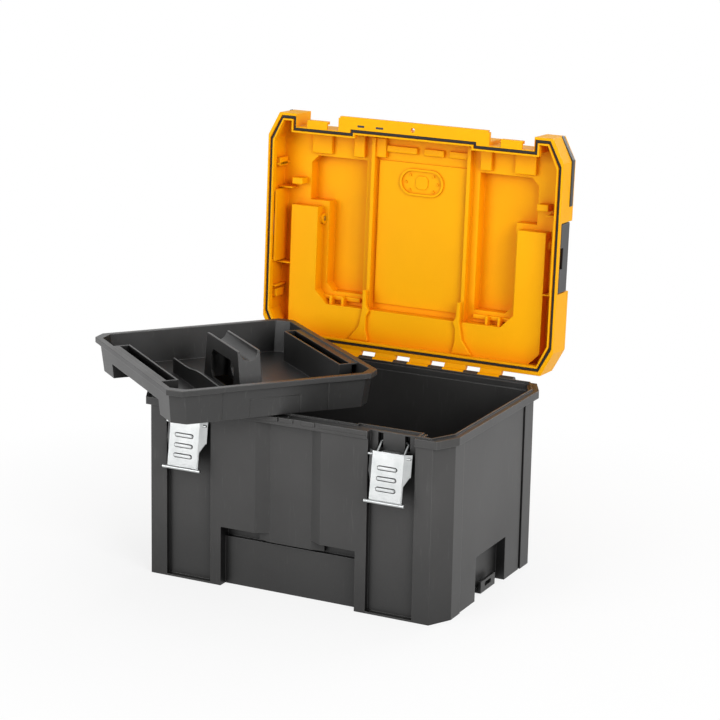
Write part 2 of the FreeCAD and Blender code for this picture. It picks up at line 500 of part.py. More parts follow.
def build_lid():
    lid = new_body("lid")
    pad(lid, "block", "XY", [octagon(LID_X, LID_Y, LID_Y, "corner_x", "corner_y")], LID_LOW, LID_TOP)
    web = [
        ("%s - web_thick" % LID_Y, LID_LOW),
        (LID_Y, LID_LOW),
        (HINGE_Y, HINGE_Z),
        (HINGE_Y, HINGE_Z + " + knuckle_radius"),
        (LID_Y, LID_LOW + " + web_thick"),
        ("%s - web_thick" % LID_Y, LID_LOW + " + web_thick"),
    ]
    knuckles(lid, "knuckle", "(knuckle_pitch * 3 - knuckle_width / 2 - knuckle_gap)", WHOLE_PLACES,
             "knuckle_width + 2 * knuckle_gap", LID_Y, web)
    pocket(lid, "hinge_bore", "YZ", [circle(HINGE_Y, HINGE_Z, "hinge_pin_radius + pin_fit")], minus(HALF_X),
           HALF_X)
    field = pad(lid, "plateau", "XY", [plateau("0")], LID_TOP, LID_TOP + " + plateau_height")
    zone = rectangle("latch_x - channel_half", "latch_x + channel_half", "-(%s) - overrun" % LID_Y,
                     "-latch_wall")
    zone_cut = pocket(lid, "latch_zone", "XY", [zone], LID_LOW + " - overrun", LID_TOP + " + overrun")
    mirror(lid, "plateaus", [field, zone_cut])
    # Front flange with the padlock hole, below a front wall that is set back
    edge = "latch_x - channel_half - front_flange_side"
    setback = rectangle("channel_half - latch_x", "latch_x - channel_half", "-(%s) - overrun" % LID_Y,
                        "-front_wall")
    pocket(lid, "front_setback", "XY", [setback], LID_LOW + " + front_flange_thick", LID_TOP + " + overrun")
    flange = rectangle(minus(edge), edge, "-front_flange", "-front_wall")
    pad(lid, "front_flange", "XY", [flange], LID_LOW, LID_LOW + " + front_flange_thick")
    # Hollow inside
    pocket(lid, "rim_hollow", "XY", [seal_line("lid_rim_inset")], LID_LOW + " - overrun",
           LID_LOW + " + lid_rim_depth")
    pocket(lid, "main_hollow", "XY", [seal_line("lid_wall_inset")], LID_LOW + " + lid_rim_depth", CEILING)
    # Inside forms: handle pocket, ribs, middle panel and the oval ring
    pad(lid, "pocket_shell", "XY", [handle_pocket("lid_skin")], POCKET_FLOOR + " - lid_skin", CEILING)
    panel = rectangle("-panel_half", "panel_half", "-panel_front", "panel_rear")
    pad(lid, "middle_panel", "XY", [panel], CEILING + " - panel_step", CEILING)
    ring = [slot_shape("0", "-oval_y", "oval_long", "oval_radius"),
            slot_shape("0", "-oval_y", "oval_long", "oval_radius - oval_wall")]
    pad(lid, "oval_ring", "XY", ring, CEILING + " - panel_step - oval_height", CEILING)
    rib = [
        ("rib_x - rib_half", "-rib_front"),
        ("rib_x + rib_half", "-rib_front"),
        ("rib_x + rib_half", "rib_rear - rib_flare"),
        ("rib_x + rib_foot", "rib_rear"),
        ("rib_x - rib_half", "rib_rear"),
    ]
    other_rib = [(minus(x), y) for x, y in rib]
    pad(lid, "ribs", "XY", [rib, other_rib], CEILING + " - rib_height", CEILING)
    # Cuts across the whole lid
    pocket(lid, "handle_pocket", "XY", [handle_pocket("0")], POCKET_FLOOR,
           LID_TOP + " + plateau_height + overrun")
    channel = [seal_line("-seal_half - seal_fit"), seal_line("seal_half + seal_fit")]
    pocket(lid, "seal_channel", "XY", channel, LID_LOW + " - overrun",
           RIM_TOP + " + tongue_height + seal_gap + seal_thick + seal_fit")
    pocket(lid, "padlock_hole", "XY", [circle("0", "-padlock_y", "padlock_radius")], LID_LOW + " - overrun",
           LID_LOW + " + front_flange_thick + overrun")
    # Each side: plateau hollow, latch ledge, stacking latch housing, wall ribs and pivot bosses
    right = []
    right.append(pocket(lid, "plateau_hollow", "XY", [plateau("lid_skin")], CEILING + " - overrun",
                        LID_TOP + " + plateau_height - lid_skin"))
    ledge = rectangle("latch_x - ledge_half", "latch_x + ledge_half", "-ledge_front", "-latch_wall")
    right.append(pad(lid, "latch_ledge", "XY", [ledge], LID_LOW, LID_LOW + " + ledge_height"))
    groove = rectangle("latch_x - ledge_half", "latch_x + ledge_half", "-ledge_back", "-latch_wall")
    right.append(pocket(lid, "ledge_groove", "XY", [groove], LID_LOW + " + ledge_floor",
                        LID_LOW + " + ledge_height"))
    inner = "%s - clip_depth - lid_skin" % LID_X
    housing = rectangle(inner, "case_width / 2 - seal_in_x", "-clip_half - clip_gap - lid_skin",
                        "clip_half + clip_gap + lid_skin")
    right.append(pad(lid, "clip_housing", "XY", [housing], LID_LOW + " + lid_rim_depth - lid_skin", LID_TOP))
    boss = [circle("-handle_axis_y", HANDLE_Z, "handle_boss")]
    right.append(pad(lid, "pivot_boss", "YZ", boss, "pocket_in - handle_pin_seat", "pocket_in"))
    right.append(pad(lid, "pivot_boss_outer", "YZ", boss, "pocket_out", "pocket_out + handle_pin_seat"))
    bore = [circle("-handle_axis_y", HANDLE_Z, "handle_pin_radius + pin_fit / 2")]
    right.append(pocket(lid, "handle_bore", "YZ", bore, "pocket_in - handle_pin_seat",
                        "pocket_out + handle_pin_seat"))
    wall_ribs = []
    for place in (-2, 2):
        middle = "wall_rib_pitch * %d" % place
        wall_ribs.append(rectangle("case_width / 2 - seal_in_x - wall_rib_length",
                                   "case_width / 2 - seal_in_x",
                                   "%s - wall_rib_half" % middle, "%s + wall_rib_half" % middle))
    right.append(pad(lid, "wall_ribs", "XY", wall_ribs, LID_LOW + " + lid_rim_depth", CEILING))
    well = rectangle("%s - clip_depth" % LID_X, "%s + overrun" % LID_X, "-clip_half - clip_gap",
                     "clip_half + clip_gap")
    right.append(pocket(lid, "clip_well", "XY", [well], LID_LOW + " + clip_low - clip_gap",
                        LID_TOP + " + overrun"))
    right.append(pocket(lid, "clip_bore", "XZ", [circle(CLIP_X, CLIP_Z, "clip_pin_radius + pin_fit / 2")],
                        "-clip_half - clip_gap - clip_pin_seat", "clip_half + clip_gap + clip_pin_seat"))
    right.append(pocket(lid, "strip_seat", "XY", [corner_strip("strip_fit")],
                        LID_LOW + " + strip_low - strip_fit",
                        LID_LOW + " + strip_low + strip_height + strip_fit"))
    mirror(lid, "other_side", right)
    return lid


def build_seal():
    seal = new_body("lid_seal")
    low = RIM_TOP + " + tongue_height + seal_gap"
    pad(seal, "ring", "XY", [seal_line("-seal_half"), seal_line("seal_half")], low, low + " + seal_thick")
    return seal


def build_strip(label, sign):
    strip = new_body(label)
    outline = [("%s(%s)" % (sign, x), y) for x, y in corner_strip("0")]
    pad(strip, "band", "XY", [outline], LID_LOW + " + strip_low", LID_LOW + " + strip_low + strip_height")
    return strip


def build_handle():
    handle = new_body("handle")
    outer = "(pocket_out - handle_gap)"
    inner = "(pocket_out - handle_gap - handle_arm)"
    rear = "(pocket_rear - handle_gap)"
    base = "(pocket_rear - handle_gap - handle_base)"
    plan = mirrored_outline([
        ("%s - handle_corner" % inner, base),
        (inner, "%s - handle_corner" % base),
        (inner, "-handle_axis_y"),
        (outer, "-handle_axis_y"),
        (outer, "%s - handle_corner" % rear),
        ("%s - handle_corner" % outer, rear),
    ])
    low = POCKET_FLOOR + " + handle_lift"
    pad(handle, "bail", "XY", [plan], low, low + " + handle_thick")
    eye = [circle("-handle_axis_y", HANDLE_Z, "handle_thick / 2")]
    eye_pad = pad(handle, "eye", "YZ", eye, inner, outer)
    seat = rectangle("%s - overrun" % base, "%s + overrun" % rear, low + " - overrun", low + " + grip_wall")
    top = rectangle("%s - overrun" % base, "%s + overrun" % rear, low + " + handle_thick - grip_wall",
                    low + " + handle_thick + overrun")
    front = rectangle("%s - overrun" % base, "%s + grip_wall" % base, low + " - overrun",
                      low + " + handle_thick + overrun")
    back = rectangle("%s - grip_wall" % rear, "%s + overrun" % rear, low + " - overrun",
                     low + " + handle_thick + overrun")
    for name, loop in (("low", seat), ("top", top), ("front", front), ("back", back)):
        pocket(handle, "grip_seat_" + name, "YZ", [loop], "-grip_half", "grip_half")
    bore = [circle("-handle_axis_y", HANDLE_Z, "handle_pin_radius + pin_fit")]
    bore_cut = pocket(handle, "bore", "YZ", bore, inner + " - overrun", outer + " + overrun")
    mirror(handle, "other_side", [eye_pad, bore_cut])
    return handle


def build_grip():
    grip = new_body("handle_grip")
    rear = "(pocket_rear - handle_gap)"
    base = "(pocket_rear - handle_gap - handle_base)"
    low = "(%s + handle_lift)" % POCKET_FLOOR
    high = "(%s + handle_lift + handle_thick)" % POCKET_FLOOR
    section = [
        ("%s + handle_edge" % base, low),
        ("%s - handle_edge" % rear, low),
        (rear, "%s + handle_edge" % low),
        (rear, "%s - handle_edge" % high),
        ("%s - handle_edge" % rear, high),
        ("%s + handle_edge" % base, high),
        (base, "%s - handle_edge" % high),
        (base, "%s + handle_edge" % low),
    ]
    hole = rectangle("%s + grip_wall" % base, "%s - grip_wall" % rear, "%s + grip_wall" % low,
                     "%s - grip_wall" % high)
    pad(grip, "sleeve", "YZ", [section, hole], "-grip_half", "grip_half")
    return grip


def build_handle_pin(label):
    return round_rod(label, "handle_pin_radius", "(pocket_out - pocket_in + 2 * handle_pin_seat)")


def build_clip(label, sign):
    """Stacking latch: a plate with a waist, a hooked free edge and a round top on its pin."""
    clip = new_body(label)
    face = "(%s)" % LID_X
    back = "(%s - clip_thick)" % LID_X
    low = "(%s + clip_low)" % LID_LOW
    plate = [
        (sign + face, low),
        (sign + back, low),
        (sign + back, CLIP_Z),
        (sign + face, CLIP_Z),
    ]
    pad(clip, "plate", "XZ", [plate], "-clip_half", "clip_half")
    pad(clip, "top", "XZ", [circle(sign + CLIP_X, CLIP_Z, "clip_round")], "-clip_half", "clip_half")
    notch = rectangle("-clip_waist", "clip_waist", low + " - overrun", low + " + clip_notch")
    if sign == "-":
        pocket(clip, "waist", "YZ", [notch], minus(face), minus(back))
    else:
        pocket(clip, "waist", "YZ", [notch], back, face)
    bore = [circle(sign + CLIP_X, CLIP_Z, "clip_pin_radius + pin_fit")]
    pocket(clip, "bore", "XZ", bore, "-clip_half - overrun", "clip_half + overrun")
    return clip


def build_clip_pin(label):
    return round_rod(label, "clip_pin_radius", "(2 * (clip_half + clip_gap + clip_pin_seat))")


def build_hinge_pin(label):
    return round_rod(label, "hinge_pin_radius", "(knuckle_pitch * 3 + knuckle_width / 2 - hinge_pin_gap / 2)")


def build_link(label):
    """Bent wire, drawn flat: the crossbar lies on X, the legs run along Y and the ends turn outwards."""
    wire = new_body(label)
    path = sketch(wire, "path", "XY", [])
    right = [
        ("link_half - link_bend", "0"),
        ("link_half", "link_bend"),
        ("link_half", "link_length - link_bend"),
        ("link_half + link_bend", "link_length"),
        ("link_half + link_end", "link_length"),
    ]
    left = [(minus(x), y) for x, y in reversed(right)]
    add_polygon(path, left + right, closed=False)
    section = sketch(wire, "section", "YZ", [circle("link_length", "0", "wire_radius")],
                     "-link_half - link_end")
    sweep = wire.newObject("PartDesign::AdditivePipe", label + "_sweep")
    sweep.Profile = section
    sweep.Spine = path
    sweep.Transition = "Right corner"
    return wire


def build_lever(label):
    """Pressed lever, drawn about its pivot: X across, outer face towards -Y, free end down."""
    lever = new_body(label)
    skin = "lever_sheet"
    section = mirrored_outline([
        ("lever_half", "-lever_front"),
        ("wing_half", "wing_back"),
        ("wing_half - lever_sheet", "wing_back"),
        ("lever_half - lever_sheet / 2", "-lever_front + %s" % skin),
    ])
    pad(lever, "sheet", "XY", [section], "-lever_drop", "lever_top")
    # The wings end part of the way down and slope to the plate
    wing_end = [
        ("lever_half + lever_sheet", "-lever_drop - overrun"),
        ("wing_half + overrun", "-lever_drop - overrun"),
        ("wing_half + overrun", "-wing_bottom"),
        ("wing_half - lever_sheet", "-wing_bottom"),
        ("lever_half + lever_sheet", "-wing_drop"),
    ]
    wing_cut = pocket(lever, "wing_end", "XZ", [wing_end], "-wing_back - overrun", "lever_front + overrun")
    mirror(lever, "wings", [wing_cut])
    # Hook lip over the top edge, with its tip turned down
    lip = [
        ("-lever_front", "lever_top"),
        ("-lever_front", "lever_top - lever_sheet"),
        ("hook_reach - lever_sheet", "lever_top - lever_sheet"),
        ("hook_reach - lever_sheet", "lever_top - lever_sheet - hook_tip"),
        ("hook_reach", "lever_top - lever_sheet - hook_tip"),
        ("hook_reach", "lever_top"),
    ]
    pad(lever, "hook", "YZ", [lip], "-hook_lip_half", "hook_lip_half")
    bars = []
    for index in range(3):
        height = "-emboss_first - emboss_pitch * %d" % index
        bars.append(mirrored_outline([
            ("emboss_half", "%s - emboss_radius" % height),
            ("emboss_half + emboss_radius", height),
            ("emboss_half", "%s + emboss_radius" % height),
        ]))
    pad(lever, "embossed_bars", "XZ", bars, "lever_front", "lever_front + emboss_proud")
    pad(lever, "rolled_edge", "YZ",
        [circle("-lever_front - roll_radius + lever_sheet", "-lever_drop", "roll_radius")],
        "-roll_half", "roll_half")
    pocket(lever, "pivot_holes", "YZ", [circle("0", "0", "wire_radius + wire_fit")], "-wing_half - overrun",
           "wing_half + overrun")
    return lever


def tray_outline(inset, corner):
    half_x = "(tray_width / 2 - (%s))" % inset
    half_y = "(tray_length / 2 - (%s))" % inset
    return octagon(half_x, half_y, half_y, corner, corner)


def build_tray():
    """Tote tray, drawn on its own base: X across, Y along the carry handle."""
    tray = new_body("tray")
    lower = "tray_rim + tray_draft"
    body_low = sketch(tray, "base", "XY", [tray_outline(lower, "tray_corner")])
    body_high = sketch(tray, "upper", "XY", [tray_outline("tray_rim", "tray_corner")],
                       "tray_height - tray_rim_height")
    shell = tray.newObject("PartDesign::AdditiveLoft", "tray_shell")
    shell.Profile = body_low
    shell.Sections = [body_high]
    shell.Ruled = True
    pad(tray, "rim", "XY", [tray_outline("0", "tray_corner")], "tray_height - tray_rim_height", "tray_height")
    hollow_low = sketch(tray, "hollow_base", "XY", [tray_outline(lower + " + tray_wall", "tray_corner")],
                        "tray_wall")
    hollow_high = sketch(tray, "hollow_upper", "XY", [tray_outline("tray_rim + tray_wall", "tray_corner")],
                         "tray_height")
    hollow = tray.newObject("PartDesign::SubtractiveLoft", "tray_hollow")
    hollow.Profile = hollow_low
    hollow.Sections = [hollow_high]
    hollow.Ruled = True
    # Troughs along the two long sides, a low one and a higher, wider one
    inner = "tray_width / 2 - tray_rim - tray_wall / 2"
    for name, sign, width, top in (("low", "-", "trough_low_width", "trough_low_top"),
                                   ("high", "", "trough_high_width", "trough_high_top")):
        outer_x = "%s(%s)" % (sign, inner)
        inner_x = "%s(%s - %s)" % (sign, inner, width)
        pad(tray, "trough_%s" % name, "XY", [rectangle(inner_x, outer_x, "-trough_half", "trough_half")],
            "tray_wall / 2", top)
        cut_outer = "%s(%s - tray_draft - tray_wall)" % (sign, inner)
        cut_inner = "%s(%s - %s + tray_wall)" % (sign, inner, width)
        pocket(tray, "trough_%s_hollow" % name, "XY",
               [rectangle(cut_inner, cut_outer, "tray_wall - trough_half", "trough_half - tray_wall")],
               "trough_floor", top + " + overrun")
    # Carry handle: two walls with sloping ends, a channel between their tops and a finger opening
    side = [
        ("-tray_handle_half - tray_handle_slope", "tray_wall / 2"),
        ("tray_handle_half + tray_handle_slope", "tray_wall / 2"),
        ("tray_handle_half", "tray_handle_top"),
        ("-tray_handle_half", "tray_handle_top"),
    ]
    pad(tray, "handle_block", "YZ", [side], "-tray_handle_gap - tray_handle_wall",
        "tray_handle_gap + tray_handle_wall")
    trough = rectangle("-tray_handle_gap", "tray_handle_gap", "tray_handle_top - tray_channel",
                       "tray_handle_top + overrun")
    pocket(tray, "handle_channel", "XZ", [trough], "-tray_length / 2", "tray_length / 2")
    under = [
        ("tray_wall - tray_handle_half - tray_handle_slope / 2", "-overrun"),
        ("tray_handle_half + tray_handle_slope / 2 - tray_wall", "-overrun"),
        ("tray_handle_half - tray_wall", "tray_handle_top - tray_channel - tray_wall"),
        ("tray_wall - tray_handle_half", "tray_handle_top - tray_channel - tray_wall"),
    ]
    pocket(tray, "handle_hollow", "YZ", [under], "-tray_handle_gap", "tray_handle_gap")
    fingers = [slot_shape("0", "(finger_low + finger_high) / 2",
                          "finger_half - (finger_high - finger_low) / 2",
                          "(finger_high - finger_low) / 2")]
    pocket(tray, "finger_opening", "YZ", fingers, "-tray_handle_gap - tray_handle_wall - overrun",
           "tray_handle_gap + tray_handle_wall + overrun")
    # Divider fin with a dip in its top edge
    fin = [
        ("-fin_half", "tray_wall / 2"),
        ("fin_half", "tray_wall / 2"),
        ("fin_half", "fin_high"),
        ("fin_half / 3", "fin_low"),
        ("-fin_half", "fin_low"),
    ]
    pad(tray, "divider", "YZ", [fin], "-fin_x - fin_wall / 2", "fin_wall / 2 - fin_x")
    # Stacking relief in the middle of each end wall
    relief = rectangle("-end_rib_half", "end_rib_half", "-overrun", "end_rib_height")
    pocket(tray, "end_relief", "XZ", [relief], "tray_length / 2 - tray_rim - tray_draft - end_rib_depth",
                        "tray_length / 2 + overrun")
    return tray


def turn(axis, angle, centre):
    return FreeCAD.Placement(FreeCAD.Vector(0, 0, 0), FreeCAD.Rotation(axis, angle), centre)


def shift(x, y, z):
    return FreeCAD.Placement(FreeCAD.Vector(x, y, z), FreeCAD.Rotation())


ALONG_X = FreeCAD.Vector(1, 0, 0)
ALONG_Z = FreeCAD.Vector(0, 0, 1)
MIDDLE = FreeCAD.Vector(0, 0, 0)
lid_open = turn(ALONG_X, -size("lid_angle"), FreeCAD.Vector(0, size(HINGE_Y), size(HINGE_Z)))
quarter_turn = FreeCAD.Units.parseQuantity("90 deg").Value
nodes = []


def place(body, placement):
    body.Placement = placement
    nodes.append(body)


place(build_tub(), FreeCAD.Placement())
place(build_lid(), lid_open)
place(build_seal(), lid_open)
for side, sign in (("left", "-"), ("right", "")):
    direction = -1 if side == "left" else 1
    place(build_strip("lid_corner_strip_" + side, sign), lid_open)
    # Hinge rods run from the middle to each end
    rod = build_hinge_pin("hinge_pin_" + side)
    rod_turn = turn(ALONG_Z, quarter_turn * (1 - direction), MIDDLE)
    rod_shift = shift(direction * size("hinge_pin_gap / 2"), size(HINGE_Y), size(HINGE_Z))
    place(rod, rod_shift.multiply(rod_turn))
    handle_pin = build_handle_pin("handle_pin_" + side)
    near_end = "pocket_in - handle_pin_seat" if side == "right" else "-pocket_out - handle_pin_seat"
    place(handle_pin, lid_open.multiply(shift(size(near_end), size("-handle_axis_y"), size(HANDLE_Z))))
    place(build_clip("side_latch_" + side, sign), lid_open)
    clip_pin = build_clip_pin("side_latch_pin_" + side)
    clip_seat = shift(direction * size(CLIP_X), size("-clip_half - clip_gap - clip_pin_seat"), size(CLIP_Z))
    place(clip_pin, lid_open.multiply(clip_seat).multiply(turn(ALONG_Z, quarter_turn, MIDDLE)))
    # Latch link: its legs point outwards and down, and the lever hangs on its ends
    axis_seat = shift(direction * size("latch_x"), size(minus(LINK_Y)), size("link_z"))
    lean = turn(ALONG_X, size("link_rest"), MIDDLE)
    outwards = turn(ALONG_Z, 2 * quarter_turn, MIDDLE)
    link_place = axis_seat.multiply(lean).multiply(outwards)
    place(build_link("latch_link_" + side), link_place)
    pivot = link_place.multVec(FreeCAD.Vector(0, size("link_length"), 0))
    lever_place = shift(pivot.x, pivot.y, pivot.z).multiply(turn(ALONG_X, -size("lever_lean"), MIDDLE))
    place(build_lever("latch_lever_" + side), lever_place)
place(build_handle(), lid_open)
place(build_grip(), lid_open)
tray_body = build_tray()
tray_seat = shift(size("tray_x"), size("tray_y"), size(RIM_TOP + " + tongue_height + tray_seat"))
place(tray_body, tray_seat.multiply(turn(ALONG_Z, size("tray_yaw"), MIDDLE)))
doc.recompute()

# Every object has to be sound, and every cut has to remove something, before anything is written
for item in doc.Objects:
    if "Invalid" in item.State or "Error" in item.State:
        raise RuntimeError("%s failed: %s" % (item.Name, item.State))
    if item.TypeId in ("PartDesign::Pocket", "PartDesign::SubtractiveLoft"):
        if item.Shape.Volume >= item.BaseFeature.Shape.Volume:
            raise RuntimeError("%s cuts nothing" % item.Name)
os.makedirs("parts", exist_ok=True)
for body in nodes:
    if body.Shape.isNull() or not body.Shape.isValid():
        raise RuntimeError("%s has no sound shape" % body.Label)
    if len(body.Shape.Solids) != 1:
        raise RuntimeError("%s has %d solids" % (body.Label, len(body.Shape.Solids)))
    body.Shape.exportStep("parts/%s.step" % body.Label)
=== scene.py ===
import json
import math

import bmesh
import bpy
from mathutils import Matrix, Vector


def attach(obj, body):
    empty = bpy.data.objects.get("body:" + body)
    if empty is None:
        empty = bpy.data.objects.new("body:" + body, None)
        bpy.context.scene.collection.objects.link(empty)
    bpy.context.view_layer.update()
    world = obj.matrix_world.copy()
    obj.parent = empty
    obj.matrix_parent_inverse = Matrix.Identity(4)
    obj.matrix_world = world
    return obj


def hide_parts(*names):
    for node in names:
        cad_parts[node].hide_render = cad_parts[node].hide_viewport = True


# Dressed scene of the tool case: camera, light, floor, materials, rounded edges and small moulded forms.
# Lengths are in metres, in the frame of the solids, up to the forms, which are drawn in millimetres.

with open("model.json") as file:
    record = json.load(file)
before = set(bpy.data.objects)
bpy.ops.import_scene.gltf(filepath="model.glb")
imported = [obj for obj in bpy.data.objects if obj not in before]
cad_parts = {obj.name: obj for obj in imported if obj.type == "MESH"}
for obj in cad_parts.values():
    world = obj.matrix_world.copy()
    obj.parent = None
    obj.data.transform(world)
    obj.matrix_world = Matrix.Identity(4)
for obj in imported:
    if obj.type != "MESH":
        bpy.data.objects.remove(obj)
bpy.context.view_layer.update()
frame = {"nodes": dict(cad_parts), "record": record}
nodes = frame["nodes"]
joints = {joint["name"]: joint for joint in frame["record"]["behaviour"]["joints"]}

# Camera, at the photograph's viewing angle
AZIMUTH = math.radians(26.4)
ELEVATION = math.radians(14.65)
ROLL = math.radians(1.08)
CAMERA_DISTANCE = 3.1266
CAMERA_TARGET = Vector((0.02156, 0.0, 0.27627))
SENSOR_WIDTH = 36.0
LENS = 123.05
CLIP_START = 0.1
CLIP_END = 50


def make_camera():
    level = math.cos(ELEVATION)
    forward = Vector((-math.sin(AZIMUTH) * level, math.cos(AZIMUTH) * level, -math.sin(ELEVATION)))
    right = Vector((math.cos(AZIMUTH), math.sin(AZIMUTH), 0))
    up = right.cross(forward)
    rolled_right = right * math.cos(ROLL) + up * math.sin(ROLL)
    rolled_up = up * math.cos(ROLL) - right * math.sin(ROLL)
    data = bpy.data.cameras.new("camera")
    data.sensor_width = SENSOR_WIDTH
    data.lens = LENS
    data.clip_start = CLIP_START
    data.clip_end = CLIP_END
    camera = bpy.data.objects.new("camera", data)
    bpy.context.scene.collection.objects.link(camera)
    turn = Matrix((rolled_right, rolled_up, -forward)).transposed().to_4x4()
    camera.matrix_world = Matrix.Translation(CAMERA_TARGET - forward * CAMERA_DISTANCE) @ turn
    bpy.context.scene.camera = camera


# Light: white surroundings, a white floor that keeps a faint shadow, and four soft lamps
WHITE = (1, 1, 1, 1)
WORLD_STRENGTH = 0.3
FRONT_GLOSS = 0.3
REAR_GLOSS = 1.0
GLOSS_FRONT_Y = -0.6
GLOSS_REAR_Y = 0.5
FLOOR_HALF = 8.0
FLOOR_GREY = (0.9, 0.9, 0.9, 1)
FLOOR_ROUGH = 0.9
FLOOR_CORNERS = [(-1, -1), (1, -1), (1, 1), (-1, 1)]
SHADOW_SHARE = 0.2
SHADOW_NEAR = 0.3
SHADOW_FAR = 0.75

# Lamps: name, place, point aimed at, width and height, and power
LAMPS = [
    ("key", (2.4, -1.7, 1.5), (0.05, 0, 0.25), (1.6, 1.6), 66),
    ("fill", (-1.5, -2.9, 1.1), (0, 0, 0.3), (2.0, 1.6), 54),
    ("top", (0, 0.2, 3.2), (0, 0, 0.2), (2.6, 2.2), 14),
    ("back", (0.4, 2.9, 1.7), (0, 0, 0.3), (2.2, 1.6), 40),
]

# Middle part of a noise's values, over which most textures change
NOISE_LOW = 0.3
NOISE_HIGH = 0.7


def ramp(tree, source, low, high, start=NOISE_LOW, end=NOISE_HIGH):
    """Map a grey signal to a span of values between two limits."""
    node = tree.nodes.new("ShaderNodeMapRange")
    node.inputs["From Min"].default_value = start
    node.inputs["From Max"].default_value = end
    node.inputs["To Min"].default_value = low
    node.inputs["To Max"].default_value = high
    tree.links.new(source, node.inputs["Value"])
    return node.outputs["Result"]


def mix_shaders(tree, factor, low, high):
    node = tree.nodes.new("ShaderNodeMixShader")
    tree.links.new(factor, node.inputs["Fac"])
    tree.links.new(low.outputs[0], node.inputs[1])
    tree.links.new(high.outputs[0], node.inputs[2])
    return node


def make_world():
    """White to the camera; reflections see a studio that is darker on the camera's side."""
    world = bpy.data.worlds.new("studio")
    bpy.context.scene.world = world
    world.use_nodes = True
    tree = world.node_tree
    tree.nodes.clear()
    glow = tree.nodes.new("ShaderNodeBackground")
    studio = tree.nodes.new("ShaderNodeBackground")
    white = tree.nodes.new("ShaderNodeBackground")
    for background in (glow, studio, white):
        background.inputs["Color"].default_value = WHITE
    glow.inputs["Strength"].default_value = WORLD_STRENGTH
    place = tree.nodes.new("ShaderNodeTexCoord")
    parts = tree.nodes.new("ShaderNodeSeparateXYZ")
    tree.links.new(place.outputs["Generated"], parts.inputs[0])
    gloss = ramp(tree, parts.outputs["Y"], FRONT_GLOSS, REAR_GLOSS, GLOSS_FRONT_Y, GLOSS_REAR_Y)
    tree.links.new(gloss, studio.inputs["Strength"])
    path = tree.nodes.new("ShaderNodeLightPath")
    glossy = mix_shaders(tree, path.outputs["Is Glossy Ray"], glow, studio)
    seen = mix_shaders(tree, path.outputs["Is Camera Ray"], glossy, white)
    out = tree.nodes.new("ShaderNodeOutputWorld")
    tree.links.new(seen.outputs[0], out.inputs["Surface"])


def make_lamp(name, place, aim, size, power):
    data = bpy.data.lights.new(name, "AREA")
    data.shape = "RECTANGLE"
    data.size, data.size_y = size
    data.energy = power
    lamp = bpy.data.objects.new(name, data)
    bpy.context.scene.collection.objects.link(lamp)
    lamp.location = place
    lamp.rotation_mode = "QUATERNION"
    lamp.rotation_quaternion = (Vector(aim) - Vector(place)).to_track_quat("-Z", "Y")


def new_material(name):
    material = bpy.data.materials.new(name)
    material.use_nodes = True
    tree = material.node_tree
    return material, tree, tree.nodes["Principled BSDF"]


def make_floor():
    """Grey floor for light that bounces; white to the camera and reflections, with a shadow near the case."""
    mesh = bpy.data.meshes.new("floor")
    corners = [(x * FLOOR_HALF, y * FLOOR_HALF, 0) for x, y in FLOOR_CORNERS]
    mesh.from_pydata(corners, [], [tuple(range(len(corners)))])
    floor = bpy.data.objects.new("floor", mesh)
    bpy.context.scene.collection.objects.link(floor)
    material, tree, shader = new_material("floor")
    shader.inputs["Base Color"].default_value = FLOOR_GREY
    shader.inputs["Roughness"].default_value = FLOOR_ROUGH
    place = tree.nodes.new("ShaderNodeTexCoord")
    reach = tree.nodes.new("ShaderNodeVectorMath")
    reach.operation = "LENGTH"
    tree.links.new(place.outputs["Object"], reach.inputs[0])
    share = ramp(tree, reach.outputs["Value"], SHADOW_SHARE, 0.0, SHADOW_NEAR, SHADOW_FAR)
    white = tree.nodes.new("ShaderNodeEmission")
    white.inputs["Strength"].default_value = 1.0
    shade = mix_shaders(tree, share, white, shader)
    path = tree.nodes.new("ShaderNodeLightPath")
    seen = tree.nodes.new("ShaderNodeMath")
    seen.operation = "MAXIMUM"
    tree.links.new(path.outputs["Is Camera Ray"], seen.inputs[0])
    tree.links.new(path.outputs["Is Glossy Ray"], seen.inputs[1])
    choice = mix_shaders(tree, seen.outputs[0], shader, shade)
    tree.links.new(choice.outputs[0], tree.nodes["Material Output"].inputs["Surface"])
    mesh.materials.append(material)


# Edges that shade as rounded, and how far the true and rounded directions agree at an edge and on a flat
EDGE_SHADE = 0.0014
SHEET_EDGE_SHADE = EDGE_SHADE / 4
EDGE_SAMPLES = 6
EDGE_TURNED = 0.86
EDGE_FLAT = 0.995

# Moulded plastic: texture scales per metre, and how strongly each texture shows
FLOW_SCALE = 9.0
FLOW_DETAIL = 4.0
SCUFF_SCALE = 60.0
SCUFF_DETAIL = 6.0
SCUFF_STRETCH = (6, 6, 0.5)
SCUFF_START = 0.62
SCUFF_END = 0.78
SCUFF_SHARE = 0.25
SCUFF_BUMP = 0.03
GRAIN_SCALE = 1400.0
GRAIN_DETAIL = 2.0
GRAIN_DEPTH = 0.0004
# Painted shade in hollows: occlusion samples, and the occlusion at which the shade is full and at which it is
# gone
SHADE_SAMPLES = 8
SHADE_FULL_AT = 0.3
SHADE_GONE_AT = 0.9
SMOOTHER = 0.05
ROUGHER = 0.06
PLASTIC_IOR = 1.49

# Plated steel
PLATING_SCALE = 55.0
PLATING_DETAIL = 5.0
LINE_SCALE = 300.0
LINE_DETAIL = 3.0
LINE_STRETCH = (1, 12, 12)
LINE_SMOOTHER = 0.07
LINE_ROUGHER = 0.09
LINE_BUMP = 0.08
PIT_SCALE = 900.0
PIT_DETAIL = 2.0
PIT_BUMP = 0.06
PLATING_DEPTH = 0.0002

# Rubber
POWDER_SCALE = 30.0
POWDER_DETAIL = 5.0
RUBBER_SMOOTH = 0.62
RUBBER_ROUGH = 0.8
PEBBLE_SCALE = 900.0
PEBBLE_DETAIL = 2.0
PEBBLE_BUMP = 0.15
PEBBLE_DEPTH = 0.0003
